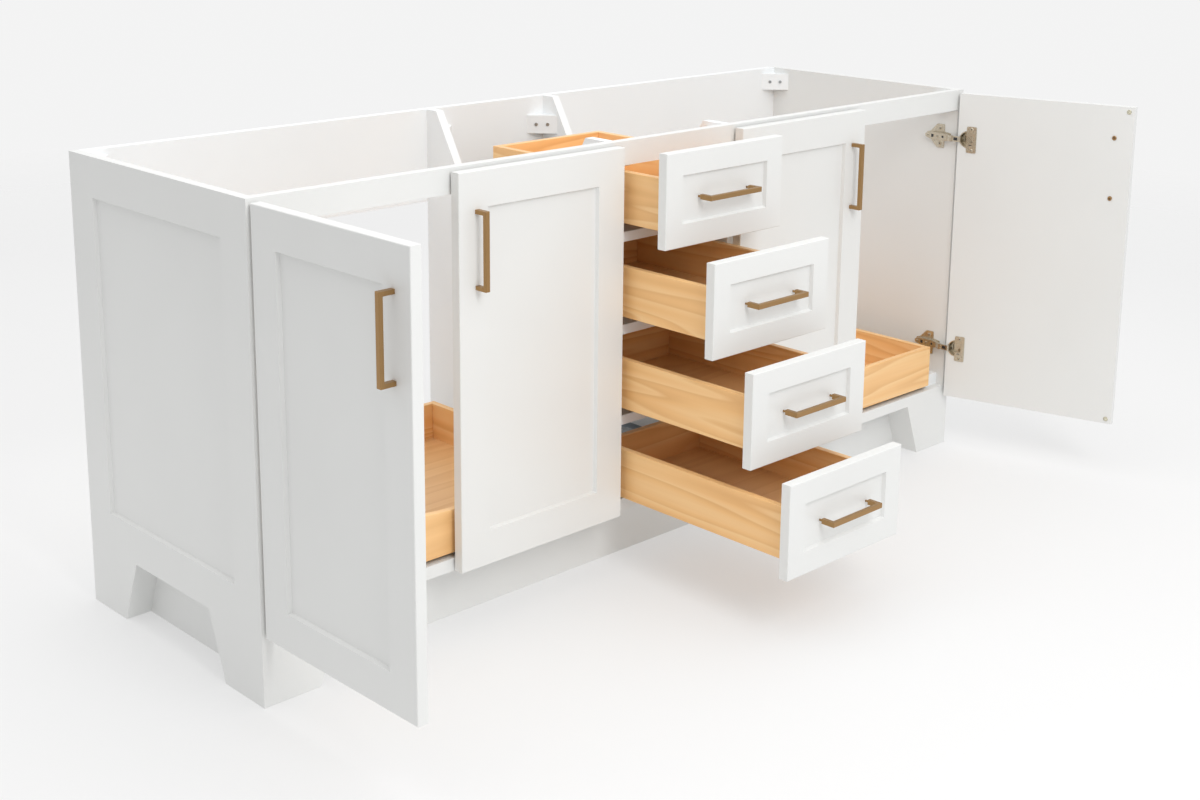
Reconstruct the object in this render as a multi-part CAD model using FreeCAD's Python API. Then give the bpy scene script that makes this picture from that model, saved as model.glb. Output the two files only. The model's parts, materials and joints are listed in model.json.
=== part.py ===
"""Double-basin bathroom vanity base cabinet: four overlay doors, a centre bank of
four drawers and two roll-out trays, standing on bracket feet, open at the top.

Frame: +X to the right, +Y to the wall, +Z up, origin on the floor at the wall face,
half way along the cabinet. Every moving piece is built closed and then carried to
the stored pose, with doors and drawers partly open.
"""
import FreeCAD
import Part

import math
import os

V = FreeCAD.Vector

# ---- overall size -------------------------------------------------------------
WIDTH = 1829.0
DEPTH = 546.0
HEIGHT = 815.0
BOARD = 18.0                 # thickness of every carcass board

# ---- carcass ------------------------------------------------------------------
DECK_TOP = 140.0
BOTTOM_RAIL_HEIGHT = 23.0
TOP_RAIL_HEIGHT = 44.0
BACK_RAIL_HEIGHT = 186.0
SIDE_STILE = 78.0            # frame of the side panels
SIDE_TOP_RAIL = 73.0
SIDE_FIELD_BOTTOM = 188.0
SIDE_RECESS = 6.0
DIVIDER_DEPTH = 60.0
DIVIDER_RISE = 3.0           # dividers sit this much above the gap they close
NOTCH_DEPTH = 150.0          # cut in the top edge of the partitions
NOTCH_FRONT = 70.0           # partition left at full height behind the front
NOTCH_BACK = 48.0            # and in front of the wall face
NOTCH_SLOPE = 60.0           # degrees

# ---- feet and plinth ----------------------------------------------------------
SIDE_FOOT_BOTTOM = 112.0
SIDE_FOOT_TOP = 156.0
SIDE_CUT_HEIGHT = 116.0
FRONT_FOOT_BOTTOM = 107.0
FRONT_FOOT_TOP = 150.0
TOE_RECESS = 62.0
SIDE_PLINTH_RECESS = 47.0
RETURN_BOARD = 12.0

# ---- doors and drawer fronts --------------------------------------------------
BANK_WIDTH = 307.0           # across a drawer front
TOP_REVEAL = 6.0             # rim of the cabinet above the fronts
RAIL_OVERLAP = 2.0           # lower edge of the bottom rail to that of the fronts
FRONT_THICKNESS = 19.0
FRONT_GAP = 3.0              # between neighbouring fronts
SIDE_REVEAL = 1.5            # outer doors stop short of the side panels by this
STANDOFF = 5.0               # closed front to carcass, taken up by the bumpers
DOOR_FRAME = 65.0
DRAWER_FRAME = 44.5
FRONT_RECESS = 6.5
RECESS_BEVEL = 3.0
FRONT_EASE = 1.0             # chamfer round the face of every front

# ---- pulls --------------------------------------------------------------------
PULL_SPACING = 128.0
PULL_BAR = 9.0               # across the face of the bar
PULL_BAR_DEPTH = 7.0
PULL_POST = 7.0
PULL_PROJECTION = 27.0
PULL_EASE = 0.8
DOOR_PULL_INSET = 38.5       # free edge of the door to the pull
DOOR_PULL_DROP = 64.0        # top of the door to the end of the pull
SCREW_RADIUS = 2.0
SCREW_HOLE_RADIUS = 2.3
SCREW_HEAD_RADIUS = 4.5
SCREW_HEAD_HEIGHT = 1.6

# ---- concealed hinges ---------------------------------------------------------
LOWER_HINGE = 114.0          # above the lower edge of the door
UPPER_HINGE = 100.0          # below its upper edge
PIN_INSET = 10.5             # hinge axis from the hinge edge of the door
PIN_DEPTH = 16.0             # hinge axis in front of the carcass
PIN_RADIUS = 1.2
PIN_CLEARANCE = 0.05
KNUCKLE_RADIUS = 2.4
KNUCKLE_HALF = 6.0
EAR_THICKNESS = 2.6
EAR_GAP = 0.4
CUP_CENTRE = 22.5
CUP_RADIUS = 17.5
CUP_DEPTH = 14.5
CUP_WALL = 0.6
CUP_CLEARANCE = 0.1
FLANGE_THICKNESS = 1.0
FLANGE_RADIUS = 19.0
FLANGE_HEIGHT = 52.0
PLATE_THICKNESS = 2.0
PLATE_START = 13.0
PLATE_LENGTH = 64.0
PLATE_WING_HEIGHT = 50.0
PLATE_WING_WIDTH = 22.0
PLATE_BAR_HEIGHT = 16.0
PLATE_SCREW_SPACING = 32.0
ARM_THICKNESS = 6.0
ARM_FROM = 20.0              # arm at full offset this far behind the carcass front
ARM_END_GAP = 4.0            # arm ends this much before the plate
RAISER_START = 14.0          # block between plate and arm, from the plate's start
RAISER_END_GAP = 6.0
STRAP_THICKNESS = 2.0
STRAP_DIP = 1.7              # strap passes this much in front of the hinge axis
NECK_REACH = 19.0            # hinge axis to the neck that leaves the cup
NECK_BEND = 5.5
NECK_START = 2.0             # neck meets the arm between these two depths
NECK_END = 6.0

# ---- drawer and tray boxes ----------------------------------------------------
BOX_BACK_GAP = 76.0          # closed drawer box to the back rails
BOX_TOP_DROP = 47.25         # upper edge of the front to the upper edge of the box
BOX_ABOVE_FRONT = 29.0       # lower edge of the front to the lower edge of the box
BOX_BOARD = 13.0
BOX_SIDE_GAP = 5.0           # box to partition
BOX_BOTTOM_RISE = 13.0       # bottom panel above the lower edge of the sides
BOX_BOTTOM = 6.0
TRAY_BACK_GAP = 74.0
TRAY_HEIGHT = 91.0
TRAY_LIFT = 8.0              # tray above the deck
TRAY_SIDE_GAP = 50.0         # leaves room for the hinges
TRAY_SETBACK = 4.0           # tray front behind the carcass front
SCOOP_WIDTH = 200.0
SCOOP_DEPTH = 13.0

# ---- under-mounted runners ----------------------------------------------------
STEEL = 1.2
RUNNER_DROP = 4.0            # cabinet member below the edge of the box side
RUNNER_UPSTAND = 12.0
CHANNEL_GAP = 4.0            # side of the box to the channel under its bottom
CHANNEL_WIDTH = 22.0
CHANNEL_TOP = 4.0
RUNNER_PLAY = 0.8            # clearance between the nested members
RUNNER_START_GAP = 2.0       # behind the front board of the box
TRAVEL_STOP = 17.0           # length of the box left in the cabinet when fully out
MID_SETBACK = 30.0
MID_END_GAP = 15.0           # middle member ends this much before the cabinet member
CLIP_LENGTH = 52.0
CLIP_WIDTH = 22.0
CLIP_DROP = 5.0
SPACER_TOP = 25.0            # height of the tray spacers above the deck

# ---- corner blocks and bumpers ------------------------------------------------
BLOCK_LEG = 45.0
BLOCK_HEIGHT = 38.0
BLOCK_DROP = 12.0
BLOCK_DROP_LOW = 38.0        # where the partition is already cut away
BLOCK_SCREW_SPACING = 24.0
BLOCK_SCREW_RADIUS = 3.5

# ---- stored pose: degrees for doors, shares of the travel for drawers -----------
DOOR_OPENING = {"door_left_outer": 89.5, "door_left_inner": 0.0,
                "door_right_inner": 0.0, "door_right_outer": 105.0}
DRAWER_OPENING = {"drawer_top": 0.2261, "drawer_second": 0.4909,
                  "drawer_third": 0.7011, "drawer_bottom": 0.9011}

# ---- worked out from the above ------------------------------------------------
FRONT = -DEPTH               # plane of the carcass front
LEFT = -WIDTH / 2
RIGHT = WIDTH / 2
DECK_BOTTOM = DECK_TOP - BOARD
RAIL_BOTTOM = DECK_TOP - BOTTOM_RAIL_HEIGHT
FRONT_TOP = HEIGHT - TOP_REVEAL
FRONT_BOTTOM = RAIL_BOTTOM + RAIL_OVERLAP
FRONT_HEIGHT = FRONT_TOP - FRONT_BOTTOM
FRONT_FACE = -STANDOFF - FRONT_THICKNESS    # of a closed front, behind the carcass front
HINGE_HEIGHTS = (LOWER_HINGE, FRONT_HEIGHT - UPPER_HINGE)
DRAWER_NAMES = list(DRAWER_OPENING)
DRAWER_HEIGHT = (FRONT_HEIGHT - (len(DRAWER_NAMES) - 1) * FRONT_GAP) / len(DRAWER_NAMES)
BANK_LEFT = -BANK_WIDTH / 2
DOOR_WIDTH = (BANK_LEFT - LEFT - SIDE_REVEAL - 2 * FRONT_GAP) / 2
PARTITION_LEFT = BANK_LEFT - FRONT_GAP / 2 - BOARD / 2      # its outer face
BAY_INNER = PARTITION_LEFT
BANK_INNER = PARTITION_LEFT + BOARD
BOX_LENGTH = DEPTH + STANDOFF - BOARD - BOX_BACK_GAP
BOX_HEIGHT = DRAWER_HEIGHT - BOX_ABOVE_FRONT - BOX_TOP_DROP
TRAVEL = BOX_LENGTH - TRAVEL_STOP
TRAY_BOTTOM = DECK_TOP + TRAY_LIFT
TRAY_LENGTH = DEPTH - TRAY_SETBACK - BOARD - TRAY_BACK_GAP
CHANNEL_OFFSET = BOX_SIDE_GAP + BOX_BOARD + CHANNEL_GAP     # from the wall of the runner
RUNNER_FOOT = CHANNEL_OFFSET + CHANNEL_WIDTH
PULL_LENGTH = PULL_SPACING + PULL_POST
TOUCH = 0.01                 # edges nearer to a face than this lie on it


# ---- shape helpers ------------------------------------------------------------
def box(x0, x1, y0, y1, z0, z1):
    """Box between two opposite corners, given as ranges."""
    return Part.makeBox(x1 - x0, y1 - y0, z1 - z0, V(x0, y0, z0))


def prism(points, direction):
    """Straight prism on a closed outline."""
    return Part.Face(Part.makePolygon(points + points[:1])).extrude(direction)


def side_prism(outline, x0, x1):
    """Prism along X on an outline of (distance behind the front, height)."""
    points = [V(x0, FRONT + n, z) for n, z in outline]
    return prism(points, V(x1 - x0, 0, 0))


def plan_prism(outline, z0, z1):
    """Prism along Z on an outline of (x, y)."""
    return prism([V(x, y, z0) for x, y in outline], V(0, 0, z1 - z0))


def cylinder(radius, height, start, direction):
    return Part.makeCylinder(radius, height, start, direction)


def fuse(shapes):
    return shapes[0].multiFuse(shapes[1:]).removeSplitter()


def mirror_x(shape):
    return shape.mirror(V(0, 0, 0), V(1, 0, 0))


def both_sides(shapes):
    """The given pieces and their mirror images across the cabinet."""
    return shapes + [mirror_x(shape) for shape in shapes]


def moved(shape, x=0.0, y=0.0, z=0.0):
    copy = shape.copy()
    copy.translate(V(x, y, z))
    return copy


def turned(shape, point, axis, degrees):
    copy = shape.copy()
    copy.rotate(point, axis, degrees)
    return copy


# ---- fronts: frame and recessed field -----------------------------------------
def front_blank(width, height):
    """Front board standing on u, n, z, its face towards -n and its face edges eased."""
    blank = box(0, width, FRONT_FACE, -STANDOFF, 0, height)
    face_edges = [edge for edge in blank.Edges if edge.BoundBox.YMax < FRONT_FACE + TOUCH]
    return blank.makeChamfer(FRONT_EASE, face_edges)


def window_cutter(x0, x1, z0, z1, face_y, depth, back_y):
    """Bevelled recess from the face, with a straight opening behind it."""
    outer = [V(x0, face_y, z0), V(x1, face_y, z0), V(x1, face_y, z1), V(x0, face_y, z1)]
    inner = [V(x0 + RECESS_BEVEL, face_y + depth, z0 + RECESS_BEVEL),
             V(x1 - RECESS_BEVEL, face_y + depth, z0 + RECESS_BEVEL),
             V(x1 - RECESS_BEVEL, face_y + depth, z1 - RECESS_BEVEL),
             V(x0 + RECESS_BEVEL, face_y + depth, z1 - RECESS_BEVEL)]
    wires = [Part.makePolygon(points + points[:1]) for points in (outer, inner)]
    bevel = Part.makeLoft(wires, True, True)
    opening = box(x0 + RECESS_BEVEL, x1 - RECESS_BEVEL, face_y + depth, back_y,
                  z0 + RECESS_BEVEL, z1 - RECESS_BEVEL)
    return fuse([bevel, opening])


def split_frame(ring, bounds, stile, bottom_rail, top_rail):
    """Cut a frame into its two full-height stiles and the rails between them."""
    x0, x1, z0, z1 = bounds
    y0, y1 = ring.BoundBox.YMin - 1, ring.BoundBox.YMax + 1
    regions = [box(x0 - 1, x0 + stile, y0, y1, z0 - 1, z1 + 1),
               box(x1 - stile, x1 + 1, y0, y1, z0 - 1, z1 + 1),
               box(x0 + stile, x1 - stile, y0, y1, z0 - 1, z0 + bottom_rail),
               box(x0 + stile, x1 - stile, y0, y1, z1 - top_rail, z1 + 1)]
    return [ring.common(region).Solids[0] for region in regions]


def framed_front(width, height, frame):
    """Stiles, rails and field of one door or drawer front, on u, n, z."""
    cutter = window_cutter(frame - RECESS_BEVEL, width - frame + RECESS_BEVEL,
                           frame - RECESS_BEVEL, height - frame + RECESS_BEVEL,
                           FRONT_FACE, FRONT_RECESS, -STANDOFF)
    ring = front_blank(width, height).cut(cutter)
    frame_parts = split_frame(ring, (0, width, 0, height), frame, frame, frame)
    field = box(frame, width - frame, FRONT_FACE + FRONT_RECESS,
                -STANDOFF, frame, height - frame)
    return frame_parts, field


def pull(centre_u, centre_z, upright, screw_length):
    """Bar pull on two posts, with its screws; the posts stand on the front's face."""
    half = PULL_LENGTH / 2
    outer_y = FRONT_FACE - PULL_PROJECTION
    bar = box(-half, half, outer_y, outer_y + PULL_BAR_DEPTH, -PULL_BAR / 2, PULL_BAR / 2)
    posts = [box(x - PULL_POST / 2, x + PULL_POST / 2, outer_y, FRONT_FACE,
                 -PULL_BAR / 2, PULL_BAR / 2)
             for x in (-PULL_SPACING / 2, PULL_SPACING / 2)]
    handle = fuse([bar] + posts)
    outer_edges = [edge for edge in handle.Edges if edge.BoundBox.YMax < outer_y + TOUCH]
    pieces = [handle.makeChamfer(PULL_EASE, outer_edges)]
    for x in (-PULL_SPACING / 2, PULL_SPACING / 2):
        shank = cylinder(SCREW_RADIUS, screw_length, V(x, FRONT_FACE, 0), V(0, 1, 0))
        head = cylinder(SCREW_HEAD_RADIUS, SCREW_HEAD_HEIGHT,
                        V(x, FRONT_FACE + screw_length, 0), V(0, 1, 0))
        pieces.append(fuse([shank, head]))
    if upright:
        pieces = [turned(piece, V(0, 0, 0), V(0, 1, 0), 90) for piece in pieces]
    return [moved(piece, x=centre_u, z=centre_z) for piece in pieces]


def pull_holes(centre_u, centre_z, upright, length):
    """Clearance holes for the pull's screws, through a front and what backs it."""
    holes = []
    for offset in (-PULL_SPACING / 2, PULL_SPACING / 2):
        u = centre_u if upright else centre_u + offset
        z = centre_z + offset if upright else centre_z
        start = V(u, FRONT_FACE - 1, z)
        holes.append(cylinder(SCREW_HOLE_RADIUS, length + 1, start, V(0, 1, 0)))
    return holes


# ---- concealed hinge, on u (from the hinge edge), n (behind the carcass front), z
def hinge_cup(height):
    """Cup with its flange, ears and pin, let into the back of the door."""
    back = -STANDOFF
    centre = V(CUP_CENTRE, back - CUP_DEPTH, height)
    inner_radius = CUP_RADIUS - CUP_WALL
    shell = cylinder(CUP_RADIUS, CUP_DEPTH, centre, V(0, 1, 0))
    half = FLANGE_HEIGHT / 2
    flange = fuse([cylinder(FLANGE_RADIUS, FLANGE_THICKNESS, V(CUP_CENTRE, back, height), V(0, 1, 0)),
                   box(CUP_CENTRE - FLANGE_RADIUS / 2, CUP_CENTRE + FLANGE_RADIUS / 2,
                       back, back + FLANGE_THICKNESS, height - half, height + half)])
    hollow = cylinder(inner_radius, CUP_DEPTH + FLANGE_THICKNESS,
                      V(CUP_CENTRE, back - CUP_DEPTH + CUP_WALL, height), V(0, 1, 0))
    cup = fuse([shell, flange]).cut(hollow)
    floor = back - CUP_DEPTH + CUP_WALL
    parts = [cup, cylinder(PIN_RADIUS, 2 * (KNUCKLE_HALF + EAR_GAP + EAR_THICKNESS),
                           V(PIN_INSET, -PIN_DEPTH, height - KNUCKLE_HALF - EAR_GAP - EAR_THICKNESS),
                           V(0, 0, 1))]
    ear_start = KNUCKLE_HALF + EAR_GAP
    for z in (height + ear_start, height - ear_start - EAR_THICKNESS):
        parts.append(box(PIN_INSET - KNUCKLE_RADIUS, PIN_INSET + KNUCKLE_RADIUS,
                         floor - CUP_WALL / 2, -PIN_DEPTH + KNUCKLE_RADIUS, z, z + EAR_THICKNESS))
    return fuse(parts)


def cup_hole(height):
    return cylinder(CUP_RADIUS + CUP_CLEARANCE, CUP_DEPTH + CUP_CLEARANCE,
                    V(CUP_CENTRE, -STANDOFF - CUP_DEPTH - CUP_CLEARANCE, height), V(0, 1, 0))


def strap(points, thickness, half_height, height):
    """Bent strip on edge: straight runs with rounded joints, on (u, n) points."""
    parts = []
    for (u0, n0), (u1, n1) in zip(points, points[1:]):
        length = math.hypot(u1 - u0, n1 - n0)
        run = box(0, length, -thickness / 2, thickness / 2, -half_height, half_height)
        run = turned(run, V(0, 0, 0), V(0, 0, 1), math.degrees(math.atan2(n1 - n0, u1 - u0)))
        parts.append(moved(run, u0, n0, height))
    for u, n in points[1:-1]:
        parts.append(cylinder(thickness / 2, 2 * half_height,
                              V(u, n, height - half_height), V(0, 0, 1)))
    return parts


def hinge_arm(face_u, height):
    """Arm screwed to the board whose inner face is at face_u, ending in the knuckle."""
    neck_u = PIN_INSET + NECK_REACH
    low_n = -PIN_DEPTH - STRAP_DIP
    arm_u = face_u + PLATE_THICKNESS + ARM_THICKNESS
    plate_end = PLATE_START + PLATE_LENGTH
    wing_start = PLATE_START + PLATE_LENGTH / 2 - PLATE_WING_WIDTH / 2
    knuckle = cylinder(KNUCKLE_RADIUS, 2 * KNUCKLE_HALF,
                       V(PIN_INSET, -PIN_DEPTH, height - KNUCKLE_HALF), V(0, 0, 1))
    parts = [knuckle]
    parts += strap([(PIN_INSET, -PIN_DEPTH), (neck_u - NECK_BEND, low_n), (neck_u, low_n),
                    (neck_u, (NECK_START + NECK_END) / 2)], STRAP_THICKNESS, KNUCKLE_HALF, height)
    parts += strap([(neck_u, NECK_START), (neck_u, NECK_END), (arm_u, ARM_FROM),
                    (arm_u, plate_end - ARM_END_GAP)], ARM_THICKNESS, KNUCKLE_HALF + 1, height)
    bore = cylinder(PIN_RADIUS + PIN_CLEARANCE, 2 * KNUCKLE_HALF + 2,
                    V(PIN_INSET, -PIN_DEPTH, height - KNUCKLE_HALF - 1), V(0, 0, 1))
    arm = fuse(parts).cut(bore)
    plate = fuse([
        box(face_u, face_u + PLATE_THICKNESS, PLATE_START, plate_end,
            height - PLATE_BAR_HEIGHT / 2, height + PLATE_BAR_HEIGHT / 2),
        box(face_u, face_u + PLATE_THICKNESS, wing_start, wing_start + PLATE_WING_WIDTH,
            height - PLATE_WING_HEIGHT / 2, height + PLATE_WING_HEIGHT / 2),
        box(face_u + PLATE_THICKNESS, arm_u - ARM_THICKNESS / 2, PLATE_START + RAISER_START,
            plate_end - RAISER_END_GAP, height - KNUCKLE_HALF, height + KNUCKLE_HALF)])
    pieces = [arm, plate]
    for sign in (-1, 1):
        start = V(face_u + PLATE_THICKNESS, wing_start + PLATE_WING_WIDTH / 2,
                  height + sign * PLATE_SCREW_SPACING / 2)
        pieces.append(cylinder(SCREW_HEAD_RADIUS, SCREW_HEAD_HEIGHT, start, V(1, 0, 0)))
    return pieces


# ---- doors --------------------------------------------------------------------
# Hinge edge of each closed door, and the inner face of the board its hinges are
# screwed to, both as distances inwards from the side of the cabinet it belongs to.
DOORS = {
    "door_left_outer": {"edge": SIDE_REVEAL, "hand": 1, "mirrored": False, "face": BOARD},
    "door_left_inner": {"edge": SIDE_REVEAL + 2 * DOOR_WIDTH + FRONT_GAP, "hand": -1,
                        "mirrored": False, "face": BAY_INNER - LEFT},
    "door_right_inner": {"edge": SIDE_REVEAL + 2 * DOOR_WIDTH + FRONT_GAP, "hand": -1,
                         "mirrored": True, "face": BAY_INNER - LEFT},
    "door_right_outer": {"edge": SIDE_REVEAL, "hand": 1, "mirrored": True, "face": BOARD},
}


def door_to_cabinet(shape, door):
    """Carry a shape from the door's u, n, z to the closed place in the cabinet."""
    placed = shape if door["hand"] > 0 else mirror_x(shape)
    placed = moved(placed, LEFT + door["edge"], FRONT)
    return mirror_x(placed) if door["mirrored"] else placed


def door_pivot(door):
    x = LEFT + door["edge"] + door["hand"] * PIN_INSET
    return V(-x if door["mirrored"] else x, FRONT - PIN_DEPTH, 0)


def opened(shape, name):
    """Swing a closed door shape to the stored pose."""
    door = DOORS[name]
    turn_sign = door["hand"] * (-1 if door["mirrored"] else 1)
    return turned(shape, door_pivot(door), V(0, 0, -turn_sign), DOOR_OPENING[name])


def build_door(name):
    frame_parts, field = framed_front(DOOR_WIDTH, FRONT_HEIGHT, DOOR_FRAME)
    pull_u = DOOR_WIDTH - DOOR_PULL_INSET
    pull_z = FRONT_HEIGHT - DOOR_PULL_DROP - PULL_LENGTH / 2
    cutters = pull_holes(pull_u, pull_z, True, FRONT_THICKNESS + 1)
    cutters += [cup_hole(height) for height in HINGE_HEIGHTS]
    frame_parts = [part.cut(cutters) for part in frame_parts]
    groups = {
        "frame": frame_parts,
        "panel": [field],
        "pull": pull(pull_u, pull_z, True, FRONT_THICKNESS),
        "hinge_cups": [hinge_cup(height) for height in HINGE_HEIGHTS],
    }
    nodes = {}
    for group, shapes in groups.items():
        placed = [door_to_cabinet(moved(shape, z=FRONT_BOTTOM), DOORS[name]) for shape in shapes]
        nodes[name + "_" + group] = [opened(shape, name) for shape in placed]
    return nodes


def hinge_arms():
    pieces = []
    for door in DOORS.values():
        face_u = door["hand"] * (door["face"] - door["edge"])
        for height in HINGE_HEIGHTS:
            pieces += [door_to_cabinet(piece, door)
                       for piece in hinge_arm(face_u, height + FRONT_BOTTOM)]
    return pieces


# ---- boxes and runners --------------------------------------------------------
def open_box(x0, x1, y0, length, z0, height, board):
    """Sides, back, front and bottom panel of a drawer or tray box."""
    y1 = y0 + length
    z1 = z0 + height
    sides = [box(x0, x0 + board, y0, y1, z0, z1), box(x1 - board, x1, y0, y1, z0, z1)]
    front = box(x0 + board, x1 - board, y0, y0 + board, z0, z1)
    back = box(x0 + board, x1 - board, y1 - board, y1, z0 + BOX_BOTTOM_RISE, z1)
    bottom_z = z0 + BOX_BOTTOM_RISE
    bottom = box(x0 + board, x1 - board, y0 + board, y1 - board, bottom_z, bottom_z + BOX_BOTTOM)
    return {"sides": sides, "front": front, "back": back, "bottom": bottom}


def runner_members(wall_x, box_bottom, start_y, length):
    """Left-hand runner beside a wall at wall_x: cabinet, middle and box members."""
    low = box_bottom - RUNNER_DROP
    y0, y1 = start_y, start_y + length
    outer = wall_x + CHANNEL_OFFSET
    inner = wall_x + RUNNER_FOOT
    cabinet = fuse([
        box(wall_x, wall_x + STEEL, y0, y1, low, low + RUNNER_UPSTAND + RUNNER_DROP),
        box(wall_x, inner, y0, y1, low, low + STEEL),
        box(outer, outer + STEEL, y0, y1, low, box_bottom + CHANNEL_TOP),
        box(inner - STEEL, inner, y0, y1, low, box_bottom + CHANNEL_TOP)])
    mid_x0 = outer + STEEL + RUNNER_PLAY
    mid_x1 = inner - STEEL - RUNNER_PLAY
    mid_low = low + STEEL + RUNNER_PLAY
    mid_top = box_bottom + BOX_BOTTOM_RISE - 2 * STEEL - RUNNER_PLAY
    my0 = start_y + MID_SETBACK
    my1 = y1 - MID_END_GAP
    middle = fuse([
        box(mid_x0, mid_x1, my0, my1, mid_top, mid_top + STEEL),
        box(mid_x0, mid_x0 + STEEL, my0, my1, mid_low, mid_top),
        box(mid_x1 - STEEL, mid_x1, my0, my1, mid_low, mid_top)])
    hat_x0 = outer - RUNNER_PLAY - STEEL
    hat_x1 = inner + RUNNER_PLAY + STEEL
    hat_top = box_bottom + BOX_BOTTOM_RISE
    hat_low = box_bottom + CHANNEL_TOP + RUNNER_PLAY
    hat = fuse([
        box(hat_x0, hat_x1, y0, y1 - MID_SETBACK, hat_top - STEEL, hat_top),
        box(hat_x0, hat_x0 + STEEL, y0, y1 - MID_SETBACK, hat_low, hat_top),
        box(hat_x1 - STEEL, hat_x1, y0, y1 - MID_SETBACK, hat_low, hat_top)])
    return cabinet, middle, hat


def locking_clips(wall_x, box_bottom, front_y):
    """Plastic clips under the bottom panel that lock a box to its pair of runners."""
    x0 = wall_x + RUNNER_FOOT + RUNNER_PLAY + STEEL
    y0 = front_y + BOX_BOARD
    top = box_bottom + BOX_BOTTOM_RISE
    body = box(x0, x0 + CLIP_WIDTH, y0, y0 + CLIP_LENGTH, box_bottom + CHANNEL_TOP, top)
    lever = box(x0 + CLIP_WIDTH / 4, x0 + CLIP_WIDTH * 3 / 4, y0, y0 + CLIP_LENGTH / 2,
                box_bottom - CLIP_DROP, top)
    return fuse([body, lever])


def build_drawer(index, name):
    opening = DRAWER_OPENING[name] * TRAVEL
    top = FRONT_TOP - index * (DRAWER_HEIGHT + FRONT_GAP)
    low = top - DRAWER_HEIGHT
    box_bottom = low + BOX_ABOVE_FRONT
    frame_parts, field = framed_front(BANK_WIDTH, DRAWER_HEIGHT, DRAWER_FRAME)
    screw_length = FRONT_THICKNESS + BOX_BOARD
    front_y = FRONT - STANDOFF
    runner_start = front_y + BOX_BOARD + RUNNER_START_GAP

    wooden = open_box(BANK_INNER + BOX_SIDE_GAP, -BANK_INNER - BOX_SIDE_GAP, front_y, BOX_LENGTH,
                      box_bottom, BOX_HEIGHT, BOX_BOARD)
    holes = pull_holes(BANK_WIDTH / 2, DRAWER_HEIGHT / 2, False, screw_length + 1)
    placed_holes = [moved(hole, BANK_LEFT, FRONT, low) for hole in holes]
    wooden["front"] = wooden["front"].cut(placed_holes)

    cabinet, middle, hat = runner_members(BANK_INNER, box_bottom, runner_start,
                                          front_y + BOX_LENGTH - runner_start)
    clip = locking_clips(BANK_INNER, box_bottom, front_y)
    fronts = [part.cut(holes) for part in frame_parts + [field]]
    handle = pull(BANK_WIDTH / 2, DRAWER_HEIGHT / 2, False, screw_length)
    nodes = {
        name + "_front": [moved(part, BANK_LEFT, FRONT, low) for part in fronts],
        name + "_pull": [moved(part, BANK_LEFT, FRONT, low) for part in handle],
        name + "_box": wooden["sides"] + [wooden["front"], wooden["back"], wooden["bottom"]],
        name + "_runners": both_sides([hat]),
        name + "_clips": both_sides([clip]),
    }
    nodes = {node: [moved(part, y=-opening) for part in parts] for node, parts in nodes.items()}
    nodes[name + "_runner_middles"] = [moved(part, y=-opening / 2) for part in both_sides([middle])]
    return nodes, both_sides([cabinet])


def scoop(x0, x1, top, y0, y1):
    """Shallow dip in the upper edge of a tray front, with rounded shoulders."""
    centre = (x0 + x1) / 2
    half = SCOOP_WIDTH / 2
    radius = (half ** 2 + SCOOP_DEPTH ** 2) / (2 * SCOOP_DEPTH)
    return cylinder(radius, y1 - y0, V(centre, y0, top - SCOOP_DEPTH + radius), V(0, 1, 0))


def build_tray(name):
    """Left tray; the right one is its mirror image."""
    x0 = LEFT + BOARD + TRAY_SIDE_GAP
    x1 = BAY_INNER - TRAY_SIDE_GAP
    y0 = FRONT + TRAY_SETBACK
    wooden = open_box(x0, x1, y0, TRAY_LENGTH, TRAY_BOTTOM, TRAY_HEIGHT, BOX_BOARD)
    wooden["front"] = wooden["front"].cut(scoop(x0, x1, TRAY_BOTTOM + TRAY_HEIGHT, y0, y0 + BOX_BOARD))
    wall_left = x0 - BOX_SIDE_GAP
    wall_right = x1 + BOX_SIDE_GAP
    runner_start = y0 + BOX_BOARD + RUNNER_START_GAP
    left_set = runner_members(wall_left, TRAY_BOTTOM, runner_start, y0 + TRAY_LENGTH - runner_start)
    left_set += (locking_clips(wall_left, TRAY_BOTTOM, y0),)
    centre = (wall_left + wall_right) / 2
    right_set = [moved(mirror_x(moved(part, x=-centre)), x=centre) for part in left_set]
    pairs = list(zip(left_set, right_set))
    nodes = {
        name + "_box": wooden["sides"] + [wooden["front"], wooden["back"], wooden["bottom"]],
        name + "_runners": list(pairs[2] + pairs[3]),
        name + "_runner_middles": list(pairs[1]),
    }
    spacers = [box(x_from, x_to, runner_start, y0 + TRAY_LENGTH, DECK_TOP, DECK_TOP + SPACER_TOP)
               for x_from, x_to in ((LEFT + BOARD, wall_left), (wall_right, BAY_INNER))]
    return nodes, list(pairs[0]), spacers


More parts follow.
